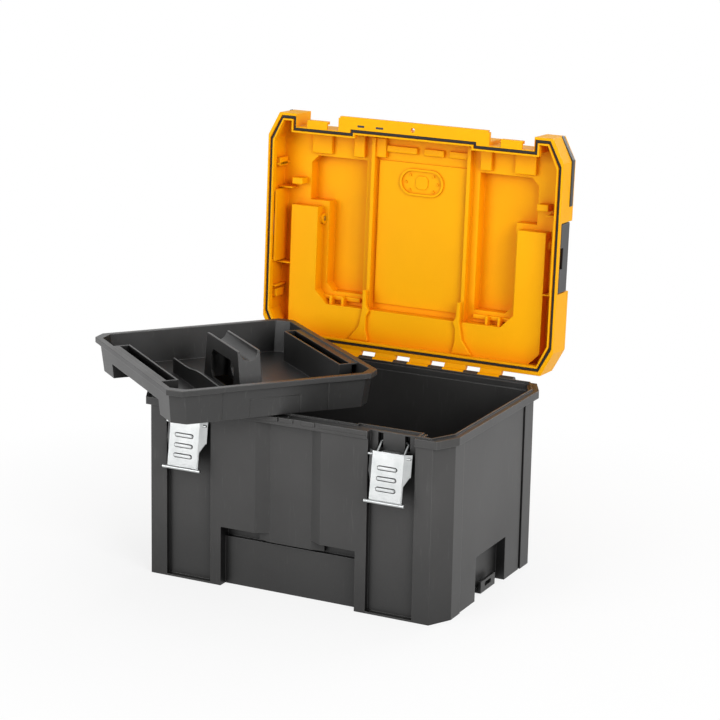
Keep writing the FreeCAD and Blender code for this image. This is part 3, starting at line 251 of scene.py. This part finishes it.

# Reach of the painted shade that darkens hollows, for each plastic
TUB_REACH = 0.22
TRAY_REACH = 0.06
LID_REACH = 0.035
TRIM_REACH = 0.03

# Colours
TUB_BLACK = (0.032, 0.0313, 0.0306, 1)
TUB_PALE = (0.045, 0.044, 0.0432, 1)
TRAY_BLACK = (0.027, 0.027, 0.0266, 1)
TRAY_PALE = (0.038, 0.0375, 0.037, 1)
# Pale colour for scuffs and edges: the scuffs are wear, the pale edges partly wear and partly a painted
# highlight
BLACK_WEAR_AND_HIGHLIGHT = (0.14, 0.137, 0.133, 1)
# Painted shade in the hollows of the black plastics
BLACK_PAINTED_SHADE = (0.003, 0.003, 0.003, 1)
LID_YELLOW = (0.90, 0.405, 0.0008, 1)
LID_PALE = (0.95, 0.44, 0.001, 1)
# Lid's pale colour for scuffs and edges, the edges partly wear and partly a painted highlight
LID_WEAR_AND_HIGHLIGHT = (0.97, 0.50, 0.01, 1)
# Painted shade in the hollows of the yellow lid, a deep orange
LID_PAINTED_SHADE = (0.79, 0.25, 0.001, 1)
TRIM_BLACK = (0.008, 0.008, 0.008, 1)
TRIM_PALE = (0.014, 0.014, 0.014, 1)
# Trim's pale colour for scuffs and edges, the edges partly wear and partly a painted highlight
TRIM_WEAR_AND_HIGHLIGHT = (0.06, 0.06, 0.06, 1)
RUBBER_BLACK = (0.010, 0.010, 0.010, 1)
RUBBER_PALE = (0.02, 0.02, 0.019, 1)
STEEL_GREY = (0.46, 0.46, 0.46, 1)
STEEL_WARM = (0.54, 0.53, 0.51, 1)
ZINC_GREY = (0.42, 0.435, 0.435, 1)
ZINC_PALE = (0.52, 0.53, 0.53, 1)


def texture(tree, kind, scale, detail, stretch=(1, 1, 1)):
    """Procedural texture over the object's own coordinates."""
    place = tree.nodes.new("ShaderNodeTexCoord")
    mapping = tree.nodes.new("ShaderNodeMapping")
    mapping.inputs["Scale"].default_value = stretch
    tree.links.new(place.outputs["Object"], mapping.inputs["Vector"])
    node = tree.nodes.new(kind)
    node.inputs["Scale"].default_value = scale
    node.inputs["Detail"].default_value = detail
    tree.links.new(mapping.outputs["Vector"], node.inputs["Vector"])
    return node


def mix_colours(tree, factor, low, high):
    """Blend two colours, each a fixed value or the output of a node."""
    node = tree.nodes.new("ShaderNodeMix")
    node.data_type = "RGBA"
    tree.links.new(factor, node.inputs["Factor"])
    sockets = {item.name: item for item in node.inputs if item.type == "RGBA"}
    for name, value in (("A", low), ("B", high)):
        if isinstance(value, tuple):
            sockets[name].default_value = value
        else:
            tree.links.new(value, sockets[name])
    return [item for item in node.outputs if item.type == "RGBA"][0]


def rounded_normal(tree, radius):
    """Surface direction with the edges turned as if they were rounded."""
    node = tree.nodes.new("ShaderNodeBevel")
    node.samples = EDGE_SAMPLES
    node.inputs["Radius"].default_value = radius
    return node.outputs["Normal"]


def bump(tree, shader, heights, distance, edge=EDGE_SHADE):
    """Join height signals into one bump on the shader, over edges that shade as rounded."""
    normal = rounded_normal(tree, edge)
    for height, strength in heights:
        node = tree.nodes.new("ShaderNodeBump")
        node.inputs["Strength"].default_value = strength
        node.inputs["Distance"].default_value = distance
        tree.links.new(height, node.inputs["Height"])
        tree.links.new(normal, node.inputs["Normal"])
        normal = node.outputs["Normal"]
    tree.links.new(normal, shader.inputs["Normal"])


def edge_mask(tree, share):
    """The share along edges and nothing on flat faces, from how far a rounded edge would turn the surface."""
    geometry = tree.nodes.new("ShaderNodeNewGeometry")
    agree = tree.nodes.new("ShaderNodeVectorMath")
    agree.operation = "DOT_PRODUCT"
    tree.links.new(geometry.outputs["Normal"], agree.inputs[0])
    tree.links.new(rounded_normal(tree, EDGE_SHADE), agree.inputs[1])
    part = tree.nodes.new("ShaderNodeMath")
    part.operation = "MULTIPLY"
    part.inputs[1].default_value = share
    tree.links.new(ramp(tree, agree.outputs["Value"], 1.0, 0.0, EDGE_TURNED, EDGE_FLAT), part.inputs[0])
    return part.outputs[0]


def moulded_plastic(name, colour, pale, wear_and_highlight, painted_shade_colour, reach, rough, gloss, grain=0.12, highlight_and_wear_share=0.5):
    """Moulded plastic: fine spark grain, flow variation, faint scuffs, edges paled partly by wear and partly
    by a painted highlight, and painted shade in hollows.
    """
    material, tree, shader = new_material(name)
    flow = texture(tree, "ShaderNodeTexNoise", FLOW_SCALE, FLOW_DETAIL).outputs["Fac"]
    scuffs = texture(tree, "ShaderNodeTexNoise", SCUFF_SCALE, SCUFF_DETAIL, SCUFF_STRETCH).outputs["Fac"]
    fine = texture(tree, "ShaderNodeTexNoise", GRAIN_SCALE, GRAIN_DETAIL).outputs["Fac"]
    # Painted shade: the colour darkens toward a shade colour where occlusion finds the surface closed in
    shade_occlusion = tree.nodes.new("ShaderNodeAmbientOcclusion")
    shade_occlusion.samples = SHADE_SAMPLES
    shade_occlusion.inputs["Distance"].default_value = reach
    painted_shade_amount = ramp(tree, shade_occlusion.outputs["AO"], 1.0, 0.0, SHADE_FULL_AT, SHADE_GONE_AT)
    tone = mix_colours(tree, ramp(tree, flow, 0.0, 1.0), colour, pale)
    tone = mix_colours(tree, ramp(tree, scuffs, 0.0, SCUFF_SHARE, SCUFF_START, SCUFF_END), tone, wear_and_highlight)
    # Pale edges: partly wear, partly a painted highlight along edges that would catch the light
    tone = mix_colours(tree, edge_mask(tree, highlight_and_wear_share), tone, wear_and_highlight)
    # Painted shade mixed over the hollows last
    tone = mix_colours(tree, painted_shade_amount, tone, painted_shade_colour)
    tree.links.new(tone, shader.inputs["Base Color"])
    tree.links.new(ramp(tree, flow, rough - SMOOTHER, rough + ROUGHER), shader.inputs["Roughness"])
    shader.inputs["IOR"].default_value = PLASTIC_IOR
    shader.inputs["Specular IOR Level"].default_value = gloss
    bump(tree, shader, [(fine, grain), (scuffs, SCUFF_BUMP)], GRAIN_DEPTH)
    return material


def plated_steel(name, colour, warm, rough):
    """Bright plated sheet: brushed lines, cloudy plating and small pits."""
    material, tree, shader = new_material(name)
    cloud = texture(tree, "ShaderNodeTexNoise", PLATING_SCALE, PLATING_DETAIL).outputs["Fac"]
    lines = texture(tree, "ShaderNodeTexNoise", LINE_SCALE, LINE_DETAIL, LINE_STRETCH).outputs["Fac"]
    pits = texture(tree, "ShaderNodeTexNoise", PIT_SCALE, PIT_DETAIL).outputs["Fac"]
    tone = mix_colours(tree, ramp(tree, cloud, 0.0, 1.0), colour, warm)
    tree.links.new(tone, shader.inputs["Base Color"])
    tree.links.new(ramp(tree, lines, rough - LINE_SMOOTHER, rough + LINE_ROUGHER), shader.inputs["Roughness"])
    shader.inputs["Metallic"].default_value = 1.0
    bump(tree, shader, [(lines, LINE_BUMP), (pits, PIT_BUMP)], PLATING_DEPTH, SHEET_EDGE_SHADE)
    return material


def soft_rubber(name, colour, pale):
    """Matt rubber: powdery variation and a fine pebble."""
    material, tree, shader = new_material(name)
    powder = texture(tree, "ShaderNodeTexNoise", POWDER_SCALE, POWDER_DETAIL).outputs["Fac"]
    pebble = texture(tree, "ShaderNodeTexVoronoi", PEBBLE_SCALE, PEBBLE_DETAIL).outputs["Distance"]
    tone = mix_colours(tree, ramp(tree, powder, 0.0, 1.0), colour, pale)
    tree.links.new(tone, shader.inputs["Base Color"])
    tree.links.new(ramp(tree, powder, RUBBER_SMOOTH, RUBBER_ROUGH), shader.inputs["Roughness"])
    bump(tree, shader, [(pebble, PEBBLE_BUMP)], PEBBLE_DEPTH)
    return material


FLAT_ANGLE = math.radians(1.0)
EDGE_ANGLE = math.radians(15)
EDGE_STEPS = 2
WELD_DISTANCE = 0.00002


def round_edges(obj, edge):
    """Join and flatten faces, and round the edges between them."""
    weld = obj.modifiers.new("weld", "WELD")
    weld.merge_threshold = WELD_DISTANCE
    flat = obj.modifiers.new("flat", "DECIMATE")
    flat.decimate_type = "DISSOLVE"
    flat.angle_limit = FLAT_ANGLE
    bevel = obj.modifiers.new("edge", "BEVEL")
    bevel.width = edge
    bevel.segments = EDGE_STEPS
    bevel.limit_method = "ANGLE"
    bevel.angle_limit = EDGE_ANGLE
    bevel.use_clamp_overlap = True
    for polygon in obj.data.polygons:
        polygon.use_smooth = False


def dress(names, slot, edge):
    """Give solids their material, and a small rounded edge as a moulding or pressing has."""
    for name in names:
        obj = nodes[name]
        obj.data.materials.clear()
        obj.data.materials.append(materials[slot])
        round_edges(obj, edge)


make_camera()
make_world()
make_floor()
for lamp_row in LAMPS:
    make_lamp(*lamp_row)
bpy.context.scene.view_settings.view_transform = "Standard"

materials = {
    "tub_plastic": moulded_plastic("tub_plastic", TUB_BLACK, TUB_PALE, BLACK_WEAR_AND_HIGHLIGHT, BLACK_PAINTED_SHADE,
                                   reach=TUB_REACH, rough=0.40, gloss=0.45),
    "tray_plastic": moulded_plastic("tray_plastic", TRAY_BLACK, TRAY_PALE, BLACK_WEAR_AND_HIGHLIGHT, BLACK_PAINTED_SHADE,
                                    reach=TRAY_REACH, rough=0.36, gloss=0.45),
    "lid_plastic": moulded_plastic("lid_plastic", LID_YELLOW, LID_PALE, LID_WEAR_AND_HIGHLIGHT, LID_PAINTED_SHADE,
                                   reach=LID_REACH, rough=0.45, gloss=0.08, grain=0.08),
    "black_plastic": moulded_plastic("black_plastic", TRIM_BLACK, TRIM_PALE, TRIM_WEAR_AND_HIGHLIGHT, BLACK_PAINTED_SHADE,
                                     reach=TRIM_REACH, rough=0.38, gloss=0.5),
    "seal_rubber": soft_rubber("seal_rubber", RUBBER_BLACK, RUBBER_PALE),
    "steel": plated_steel("steel", STEEL_GREY, STEEL_WARM, rough=0.32),
    "zinc": plated_steel("zinc", ZINC_GREY, ZINC_PALE, rough=0.34),
}

MOULDED_EDGE = 0.0007
SEAL_EDGE = 0.0005
SLEEVE_EDGE = 0.001
PIN_EDGE = 0.0002
SHEET_EDGE = 0.0003
SIDES = ("left", "right")


def pairs(*stems):
    """Names of pieces that come as a left one and a right one."""
    return [stem + "_" + side for stem in stems for side in SIDES]


dress(["tub"], "tub_plastic", MOULDED_EDGE)
dress(["tray"], "tray_plastic", MOULDED_EDGE)
dress(["lid"], "lid_plastic", MOULDED_EDGE)
dress(["lid_seal"], "seal_rubber", SEAL_EDGE)
dress(["handle_grip"], "seal_rubber", SLEEVE_EDGE)
dress(pairs("lid_corner_strip") + ["handle"] + pairs("side_latch"), "black_plastic", MOULDED_EDGE)
dress(pairs("hinge_pin", "handle_pin", "side_latch_pin"), "steel", PIN_EDGE)
dress(pairs("latch_link", "latch_lever"), "zinc", SHEET_EDGE)

# Moulded forms, in millimetres and degrees from here on
MM = 0.001
QUARTER_TURN = 90
HALF_TURN = 180


def prism(name, outlines, low, high, body, slot, edge, turn=Matrix.Identity(4)):
    """Closed outlines raised between two levels as one piece, with rounded edges."""
    corners = []
    faces = []
    for outline in outlines:
        first = len(corners)
        count = len(outline)
        area = sum(outline[i - 1][0] * y - x * outline[i - 1][1] for i, (x, y) in enumerate(outline))
        loop = outline if area > 0 else outline[::-1]
        for level in (low, high):
            corners += [turn @ (Vector((x, y, level)) * MM) for x, y in loop]
        faces.append([first + i for i in reversed(range(count))])
        faces.append([first + count + i for i in range(count)])
        for i in range(count):
            after = (i + 1) % count
            faces.append([first + i, first + after, first + count + after, first + count + i])
    mesh = bpy.data.meshes.new(name)
    mesh.from_pydata(corners, [], faces)
    mesh.materials.append(materials[slot])
    piece = bpy.data.objects.new(name, mesh)
    bpy.context.scene.collection.objects.link(piece)
    bevel = piece.modifiers.new("edge", "BEVEL")
    bevel.width = edge * MM
    bevel.segments = EDGE_STEPS
    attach(piece, body)


def plate(left, right, front, rear):
    return [(left, front), (right, front), (right, rear), (left, rear)]


def plates(sizes):
    return [plate(*size) for size in sizes]


def both(outlines):
    """Outlines and their mirror images."""
    return outlines + [[(-x, y) for x, y in outline] for outline in outlines]


# Forms inside the lid, drawn with the lid closed and turned up with it
# A plate gives its left, right, front and rear; levels are heights over the lid's lower edge
LID_LOW = 234.3
CEILING = 39.5
FORM_EDGE = 1.2
THIN_EDGE = 0.5
FRONT_FORMS = [(134, 164, -131, -101), (85, 101, -131, -101)]
FRONT_FORM_LOW = 32
FRONT_BARS = [(-53, -8, -121, -112), (2, 31, -121, -112), (39, 66, -121, -112)]
FRONT_STAY = [(-69, -53, -130, -104)]
BAR_LOW = 34
RIB_FOOT = [(67.5, 76), (72.5, 76), (72.5, 104), (77, 126), (92, 146),
            (62, 146), (66, 130), (66, 112), (62, 104), (66.5, 97)]
RIB_FOOT_LOW = 17
RIB_FOOT_HIGH = 24
FOOT_RIBS = [(105, 109, 92, 105), (123, 127, 92, 105)]
FOOT_RIB_LOW = 26
FOOT_BARS = [(84, 141, 92, 98)]
WALL_PADS = [(202, 208.6, -92, -80), (202, 208.6, 89, 100)]
WALL_PAD_LOW = 13
WALL_PAD_HIGH = 36
STOP_POSTS = [(172, 188, -66, -57)]
STOP_POST_LOW = 22
THIN_RIBS = [(187, 208, -53, -51), (187, 208, 51, 53)]
THIN_RIB_LOW = 20
OVAL_PLATE = [(-9, -70), (-5, -66), (5, -66), (9, -70), (9, -80), (5, -84), (-5, -84), (-9, -80)]
OVAL_PLATE_LOW = 35.4
OVAL_HIGH = 38
PEG_PLACES = [(-17, -65), (-23, -75), (-17, -85), (17, -65), (23, -75), (17, -85)]
PEG_HALF = 1.8
PEG_LOW = 35.0
PEG_EDGE = 0.3
FLANGE_SLOTS = [(-81, -71, -148.1, -145.3), (-54, -43, -148.1, -145.3)]
SLOT_LOW = -0.15
SLOT_HIGH = 1.5
SLOT_EDGE = 0.1

hinge = Vector(joints["lid_hinge"]["pos_m"])
lid_turn = math.radians(joints["lid_hinge"]["range_deg"][0])
to_open = Matrix.Translation(hinge) @ Matrix.Rotation(lid_turn, 4, "X") @ Matrix.Translation(-hinge)


def lid_form(name, outlines, low, high=CEILING, edge=FORM_EDGE, slot="lid_plastic"):
    prism(name, outlines, LID_LOW + low, LID_LOW + high, "lid", slot, edge, to_open)


def peg(x, y):
    return [(x - PEG_HALF, y + PEG_HALF), (x + PEG_HALF, y + PEG_HALF), (x, y - PEG_HALF)]


lid_form("lid_front_forms", both(plates(FRONT_FORMS)), FRONT_FORM_LOW)
lid_form("lid_front_bars", plates(FRONT_BARS), BAR_LOW)
lid_form("lid_front_stay", plates(FRONT_STAY), FRONT_FORM_LOW)
lid_form("lid_rib_feet", both([RIB_FOOT]), RIB_FOOT_LOW, RIB_FOOT_HIGH)
lid_form("lid_foot_ribs", both(plates(FOOT_RIBS)), FOOT_RIB_LOW)
lid_form("lid_foot_bars", both(plates(FOOT_BARS)), BAR_LOW)
lid_form("lid_wall_pads", both(plates(WALL_PADS)), WALL_PAD_LOW, WALL_PAD_HIGH)
lid_form("lid_stop_posts", both(plates(STOP_POSTS)), STOP_POST_LOW)
lid_form("lid_thin_ribs", both(plates(THIN_RIBS)), THIN_RIB_LOW, edge=THIN_EDGE)
lid_form("lid_oval_plate", [OVAL_PLATE], OVAL_PLATE_LOW, OVAL_HIGH, THIN_EDGE)
lid_form("lid_oval_pegs", [peg(x, y) for x, y in PEG_PLACES], PEG_LOW, OVAL_HIGH, PEG_EDGE)
lid_form("lid_flange_slots", plates(FLANGE_SLOTS), SLOT_LOW, SLOT_HIGH, SLOT_EDGE, "black_plastic")

# Rim blocks over the front panel, on each side of the padlock hole
RIM_BLOCKS = [(-42, -13, -156, -151), (-11, 8, -155.4, -151), (20, 38, -155.4, -151), (44, 110, -155, -151)]
RIM_BLOCK_LOW = 228.5
RIM_BLOCK_HIGH = 234.2
prism("rim_blocks", plates(RIM_BLOCKS), RIM_BLOCK_LOW, RIM_BLOCK_HIGH, "case", "tub_plastic", THIN_EDGE)

# Latch levers: a dark ring round each raised bar, a painted shadow in black plastic set a little into the
# lever's front face, on which both are drawn
LEVER_LEAN = math.radians(-8)
TO_FRONT = math.radians(QUARTER_TURN)
LEVER_FACE = 4.0
BAR_HALF = 10.5
BAR_RADIUS = 2.1
BAR_LEVELS = (-15, -28, -41)
BAR_RISE = 1.6
BAR_EDGE = 0.8
SHADOW_RING_MARGIN = 0.9
SHADOW_RING_SUNK = 0.2
SHADOW_RING_RISE = 0.15
SHADOW_RING_EDGE = 0.05
ROUND_STEPS = 8


def capsule(middle, half, radius):
    """Outline of a bar with round ends."""
    points = []
    for side, start in ((1, -QUARTER_TURN), (-1, QUARTER_TURN)):
        for step in range(ROUND_STEPS + 1):
            angle = math.radians(start + HALF_TURN * step / ROUND_STEPS)
            points.append((side * half + radius * math.cos(angle), middle + radius * math.sin(angle)))
    return points


for hand in SIDES:
    lever = "latch_lever_" + hand
    pivot = Vector(joints[lever + "_swing"]["pos_m"])
    lean = Matrix.Translation(pivot) @ Matrix.Rotation(LEVER_LEAN, 4, "X")
    to_face = lean @ Matrix.Rotation(TO_FRONT, 4, "X")
    # Painted shadow: black rings round the bars, standing in for the shade at their edges
    shadow_rings = [capsule(level, BAR_HALF, BAR_RADIUS + SHADOW_RING_MARGIN) for level in BAR_LEVELS]
    prism("lever_shadow_rings_" + hand, shadow_rings, LEVER_FACE - SHADOW_RING_SUNK, LEVER_FACE + SHADOW_RING_RISE, lever,
          "black_plastic", SHADOW_RING_EDGE, to_face)
    bars = [capsule(level, BAR_HALF, BAR_RADIUS) for level in BAR_LEVELS]
    prism("lever_bars_" + hand, bars, LEVER_FACE, LEVER_FACE + BAR_RISE, lever, "zinc", BAR_EDGE, to_face)

# Tote tray, drawn on its own base: X across, Y along the carry handle
TRAY_CENTRE = Vector((-125.3, -67, 236.7)) * MM
TRAY_YAW = math.radians(50.5)
TRAY_HALF_X = 139
TRAY_HALF_Y = 152.5
TRAY_HEIGHT = 44.5
TRAY_RIM = 5
TRAY_RIM_LOW = 38
TRAY_RIM_LAP = 0.5
TRAY_DRAFT = 4
TRAY_WALL = 2.4
TRAY_CORNER = 15
HALF_WALL = TRAY_WALL / 2
TROUGH_IN = 107
TROUGH_OUT = 124.3
TROUGH_HALF = 92
TROUGH_FLOOR = 21.5
TROUGH_TOP = 42.5
GRIP_HALF = 54
GRIP_SLOPE = 12
GRIP_TOP = 60
GRIP_GAP = 12
GRIP_WALL = 3
GRIP_OPENING = [(-40, 13), (-32, 5), (32, 5), (40, 13), (40, 35), (32, 43), (-32, 43), (-40, 35)]
CHANNEL_STEPS = 16
UNDER_FOOT = 57
UNDER_HEAD = 51
FIN_LEFT = -51.2
FIN_RIGHT = -48.8
FIN_END = 84
FIN_CREST = [(FIN_END, 22), (40, 22), (22, 23), (0, 26), (-22, 27)]
FIN_NEAR_TOP = 25
WALL_STEP = 1.0
WALL_STEP_HALF = 70
FOOT_STEP = 0.7
FOOT_STEP_HALF = 33.5
FOOT_TOP = 24
OVERRUN = 6
MOUTH_OVERRUN = 1
HAIR = 0.01
BEYOND_WALL = 160
ENDS = (1, -1)


def tray_plan(inset):
    x = TRAY_HALF_X - inset
    y = TRAY_HALF_Y - inset
    cut = TRAY_CORNER
    right = [(x, cut - y), (x, y - cut), (x - cut, y)]
    left = [(cut - x, y), (-x, y - cut), (-x, cut - y)]
    return right + left + [(cut - x, -y), (x - cut, -y)]


def between(low, high):
    """Closed mesh between two loops of points with the same count."""
    count = len(low)
    faces = [list(reversed(range(count))), list(range(count, 2 * count))]
    for i in range(count):
        after = (i + 1) % count
        faces.append([i, after, count + after, count + i])
    mesh = bpy.data.meshes.new("form")
    mesh.from_pydata([Vector(point) * MM for point in list(low) + list(high)], [], faces)
    form = bmesh.new()
    form.from_mesh(mesh)
    bmesh.ops.recalc_face_normals(form, faces=form.faces)
    form.to_mesh(mesh)
    form.free()
    return mesh


def upright(plan, low, high, high_plan=None):
    """Plan raised between two levels, with another plan at the top where the walls lean."""
    return between([(x, y, low) for x, y in plan], [(x, y, high) for x, y in (high_plan or plan)])


def across(profile, left, right):
    """Profile in Y and Z, drawn out along X."""
    return between([(left, y, z) for y, z in profile], [(right, y, z) for y, z in profile])


def combine(base, tools, operation):
    """Join meshes to a base mesh, or cut them out of it."""
    target = bpy.data.objects.new("target", base)
    bpy.context.scene.collection.objects.link(target)
    for mesh in tools:
        tool = bpy.data.objects.new("tool", mesh)
        bpy.context.scene.collection.objects.link(tool)
        step = target.modifiers.new("step", "BOOLEAN")
        step.solver = "EXACT"
        step.operation = operation
        step.object = tool
        graph = bpy.context.evaluated_depsgraph_get()
        result = bpy.data.meshes.new_from_object(target.evaluated_get(graph))
        target.modifiers.clear()
        target.data = result
        bpy.data.objects.remove(tool)
    mesh = target.data
    bpy.data.objects.remove(target)
    return mesh


def side_strip(end, first, last, half):
    """Plan of a strip along one side of the tray, between two distances from its middle."""
    return plate(min(end * first, end * last), max(end * first, end * last), -half, half)


def end_strip(end, half, inner):
    """Plan of a strip over one end wall of the tray, from a distance from its middle outwards."""
    return plate(-half, half, min(end * inner, end * BEYOND_WALL), max(end * inner, end * BEYOND_WALL))


def tray_shell():
    shell = upright(tray_plan(TRAY_RIM + TRAY_DRAFT), 0, TRAY_RIM_LOW, tray_plan(TRAY_RIM))
    shell = combine(shell, [upright(tray_plan(0), TRAY_RIM_LOW - TRAY_RIM_LAP, TRAY_HEIGHT)], "UNION")
    hollow = upright(tray_plan(TRAY_RIM + TRAY_DRAFT + TRAY_WALL), TRAY_WALL, TRAY_HEIGHT + MOUTH_OVERRUN,
                     tray_plan(TRAY_RIM + TRAY_WALL))
    return combine(shell, [hollow], "DIFFERENCE")


def tray_forms():
    """Troughs along both sides, the carry handle's block and the dividing fin."""
    forms = []
    base_out = TRAY_HALF_X - TRAY_RIM - TRAY_DRAFT
    ledge_out = TRAY_HALF_X - TRAY_RIM - HALF_WALL
    for end in ENDS:
        forms.append(upright(side_strip(end, TROUGH_IN, base_out, TROUGH_HALF), HALF_WALL, TROUGH_FLOOR))
        forms.append(upright(side_strip(end, TROUGH_IN, TROUGH_OUT, TROUGH_HALF), HALF_WALL, TROUGH_TOP))
        ledge = side_strip(end, TROUGH_OUT - TRAY_WALL, ledge_out, TROUGH_HALF)
        forms.append(upright(ledge, TROUGH_TOP - TRAY_WALL, TROUGH_TOP))
    foot = GRIP_HALF + GRIP_SLOPE
    block = [(-foot, HALF_WALL), (foot, HALF_WALL), (GRIP_HALF, GRIP_TOP), (-GRIP_HALF, GRIP_TOP)]
    forms.append(across(block, -GRIP_GAP - GRIP_WALL, GRIP_GAP + GRIP_WALL))
    near = TRAY_HALF_Y - TRAY_RIM - TRAY_DRAFT
    fin = [(-near, HALF_WALL), (FIN_END, HALF_WALL)] + FIN_CREST + [(-near, FIN_NEAR_TOP)]
    forms.append(across(fin, FIN_LEFT, FIN_RIGHT))
    return forms


def tray_cuts():
    """Inside and underside of the troughs, channel, underside and opening of the handle, and wall steps."""
    cuts = []
    trough_in = TROUGH_IN + TRAY_WALL
    trough_out = TROUGH_OUT - TRAY_WALL
    trough_half = TROUGH_HALF - TRAY_WALL
    for end in ENDS:
        inside = side_strip(end, trough_in, trough_out, trough_half)
        cuts.append(upright(inside, TROUGH_FLOOR, TRAY_HEIGHT + OVERRUN))
        underside = side_strip(end, trough_in, TRAY_HALF_X + OVERRUN, trough_half)
        cuts.append(upright(underside, -OVERRUN, TROUGH_FLOOR - TRAY_WALL))
    steps = range(CHANNEL_STEPS + 1)
    turns = [math.radians(HALF_TURN + HALF_TURN * step / CHANNEL_STEPS) for step in steps]
    channel = [(GRIP_GAP * math.cos(turn), GRIP_TOP + HAIR + GRIP_GAP * math.sin(turn)) for turn in turns]
    channel_ends = [[(x, y, z) for x, z in channel] for y in (-TRAY_HALF_Y, TRAY_HALF_Y)]
    cuts.append(between(*channel_ends))
    under_top = GRIP_TOP - GRIP_GAP - TRAY_WALL
    under = [(-UNDER_FOOT, -OVERRUN), (UNDER_FOOT, -OVERRUN)]
    under += [(UNDER_HEAD, under_top), (-UNDER_HEAD, under_top)]
    cuts.append(across(under, -GRIP_GAP, GRIP_GAP))
    grip_out = GRIP_GAP + GRIP_WALL + OVERRUN
    cuts.append(across(GRIP_OPENING, -grip_out, grip_out))
    wall_low = TRAY_HALF_Y - TRAY_RIM - TRAY_DRAFT - WALL_STEP
    wall_high = wall_low + TRAY_DRAFT
    foot_low = wall_low - FOOT_STEP
    foot_high = foot_low + TRAY_DRAFT * FOOT_TOP / TRAY_RIM_LOW
    for end in ENDS:
        cuts.append(upright(end_strip(end, WALL_STEP_HALF, wall_low), -HAIR, TRAY_RIM_LOW,
                            end_strip(end, WALL_STEP_HALF, wall_high)))
        cuts.append(upright(end_strip(end, FOOT_STEP_HALF, foot_low), -HAIR, FOOT_TOP,
                            end_strip(end, FOOT_STEP_HALF, foot_high)))
    return cuts


def make_tray():
    mesh = combine(combine(tray_shell(), tray_forms(), "UNION"), tray_cuts(), "DIFFERENCE")
    mesh.name = "tote_tray"
    mesh.transform(Matrix.Translation(TRAY_CENTRE) @ Matrix.Rotation(TRAY_YAW, 4, "Z"))
    mesh.materials.clear()
    mesh.materials.append(materials["tray_plastic"])
    piece = bpy.data.objects.new("tote_tray", mesh)
    bpy.context.scene.collection.objects.link(piece)
    round_edges(piece, MOULDED_EDGE)
    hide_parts("tray")
    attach(piece, "tray")


make_tray()
